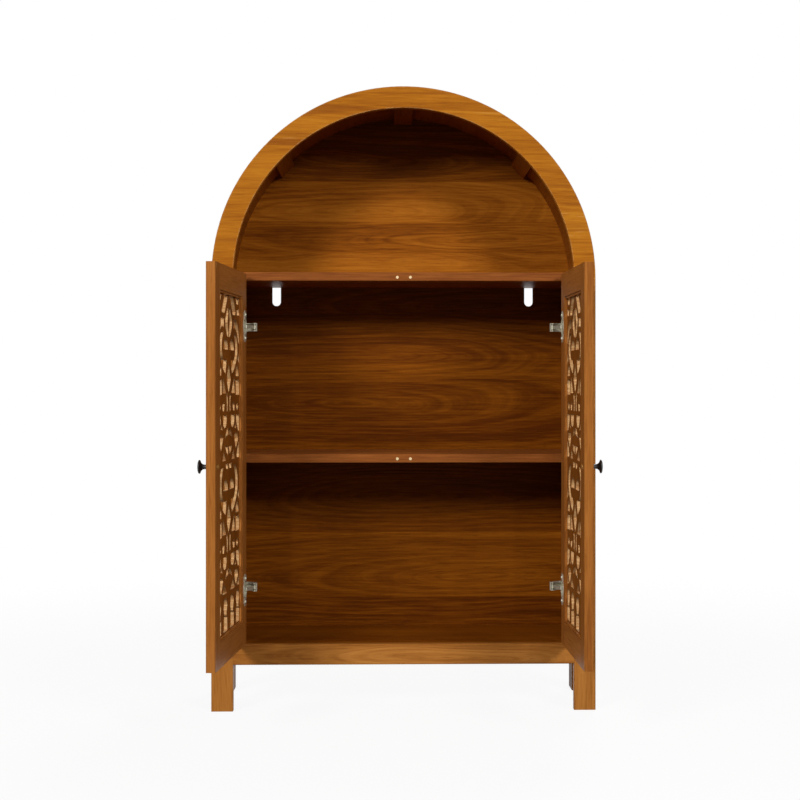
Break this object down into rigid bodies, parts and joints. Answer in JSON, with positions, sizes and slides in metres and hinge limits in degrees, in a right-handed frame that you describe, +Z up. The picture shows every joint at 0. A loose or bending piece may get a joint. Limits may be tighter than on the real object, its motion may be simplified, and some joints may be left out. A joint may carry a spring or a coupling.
{
  "type": "arched cabinet",
  "caption": "Arched wooden cabinet on short legs, with an open niche over a fixed shelf and two compartments behind a pair of fretwork doors.",
  "frame": {"origin": "on the floor, under the middle of the carcass without its doors", "axes": "+X to the right as seen from the front, +Y from the doors to the back that stands against a wall, +Z up"},
  "size_m": [0.8, 0.6306, 1.2999],
  "materials": {
    "ring_wood": "satin golden-brown stain, grain running across the whole arch",
    "front_wood": "satin walnut-brown stain, grain along the piece",
    "side_wood": "satin walnut-brown stain",
    "shelf_wood": "satin walnut-brown stain, grain from side to side",
    "back_wood": "satin dark brown stain in wide horizontal planks",
    "door_wood": "satin walnut-brown stain, grain along the piece",
    "fret_wood": "dark stained faces, paler raw wood on the cut walls of the openings",
    "raw_wood": "unfinished dowel wood",
    "black_paint": "satin black paint",
    "hinge_nickel": "bright nickel plate",
    "magnet_nickel": "polished nickel plate"
  },
  "bodies": {
    "cabinet": {"arch_ring": "ring_wood", "left_front_post": "front_wood", "right_front_post": "front_wood", "front_rail": "front_wood", "ring_dowels": "raw_wood", "rail_dowels": "raw_wood", "left_side_panel": "side_wood", "right_side_panel": "side_wood", "arch_band": "side_wood", "left_arch_batten": "side_wood", "crown_arch_batten": "side_wood", "right_arch_batten": "side_wood", "fixed_shelf": "shelf_wood", "middle_shelf": "shelf_wood", "bottom_panel": "shelf_wood", "upper_back_panel": "back_wood", "lower_back_panel": "back_wood", "left_hinge_post": "side_wood", "right_hinge_post": "side_wood", "fixed_shelf_magnets": "magnet_nickel", "middle_shelf_magnets": "magnet_nickel", "left_hinge_arm_pins": "hinge_nickel", "left_lower_hinge_arm": "hinge_nickel", "left_lower_hinge_plate": "hinge_nickel", "left_upper_hinge_arm": "hinge_nickel", "left_upper_hinge_plate": "hinge_nickel", "right_hinge_arm_pins": "hinge_nickel", "right_lower_hinge_arm": "hinge_nickel", "right_lower_hinge_plate": "hinge_nickel", "right_upper_hinge_arm": "hinge_nickel", "right_upper_hinge_plate": "hinge_nickel"},
    "left_links": {"left_lower_hinge_link": "hinge_nickel", "left_upper_hinge_link": "hinge_nickel"},
    "left_door": {"left_door_hinge_stile": "door_wood", "left_door_lock_stile": "door_wood", "left_door_bottom_rail": "door_wood", "left_door_top_rail": "door_wood", "left_door_fretwork": "fret_wood", "left_door_bead": "door_wood", "left_door_knob": "black_paint", "left_door_knob_screw": "hinge_nickel", "left_door_strikes": "hinge_nickel", "left_hinge_cup_pins": "hinge_nickel", "left_lower_hinge_cup": "hinge_nickel", "left_upper_hinge_cup": "hinge_nickel"},
    "right_links": {"right_lower_hinge_link": "hinge_nickel", "right_upper_hinge_link": "hinge_nickel"},
    "right_door": {"right_door_hinge_stile": "door_wood", "right_door_lock_stile": "door_wood", "right_door_bottom_rail": "door_wood", "right_door_top_rail": "door_wood", "right_door_fretwork": "fret_wood", "right_door_bead": "door_wood", "right_door_knob": "black_paint", "right_door_knob_screw": "hinge_nickel", "right_door_strikes": "hinge_nickel", "right_hinge_cup_pins": "hinge_nickel", "right_lower_hinge_cup": "hinge_nickel", "right_upper_hinge_cup": "hinge_nickel"}
  },
  "joints": [
    {"name": "left_hinge_link_turn", "type": "hinge", "parent": "cabinet", "child": "left_links", "pos_m": [-0.312, -0.114, 0.527], "axis": [0, 0, 1], "range_deg": [-36.4, 2.5]},
    {"name": "left_door_turn", "type": "hinge", "parent": "left_links", "child": "left_door", "pos_m": [-0.33267, -0.14509, 0.527], "axis": [0, 0, 1], "range_deg": [-7.59, 130.5]},
    {"name": "right_hinge_link_turn", "type": "hinge", "parent": "cabinet", "child": "right_links", "pos_m": [0.312, -0.114, 0.527], "axis": [0, 0, -1], "range_deg": [-35.07, 3.83]},
    {"name": "right_door_turn", "type": "hinge", "parent": "right_links", "child": "right_door", "pos_m": [0.33339, -0.1446, 0.527], "axis": [0, 0, -1], "range_deg": [-12.43, 125.67]}
  ],
  "couplings": [
    {"joint": "left_hinge_link_turn", "follows": "left_door_turn", "ratio": -0.27586},
    {"joint": "right_hinge_link_turn", "follows": "right_door_turn", "ratio": -0.27586}
  ]
}
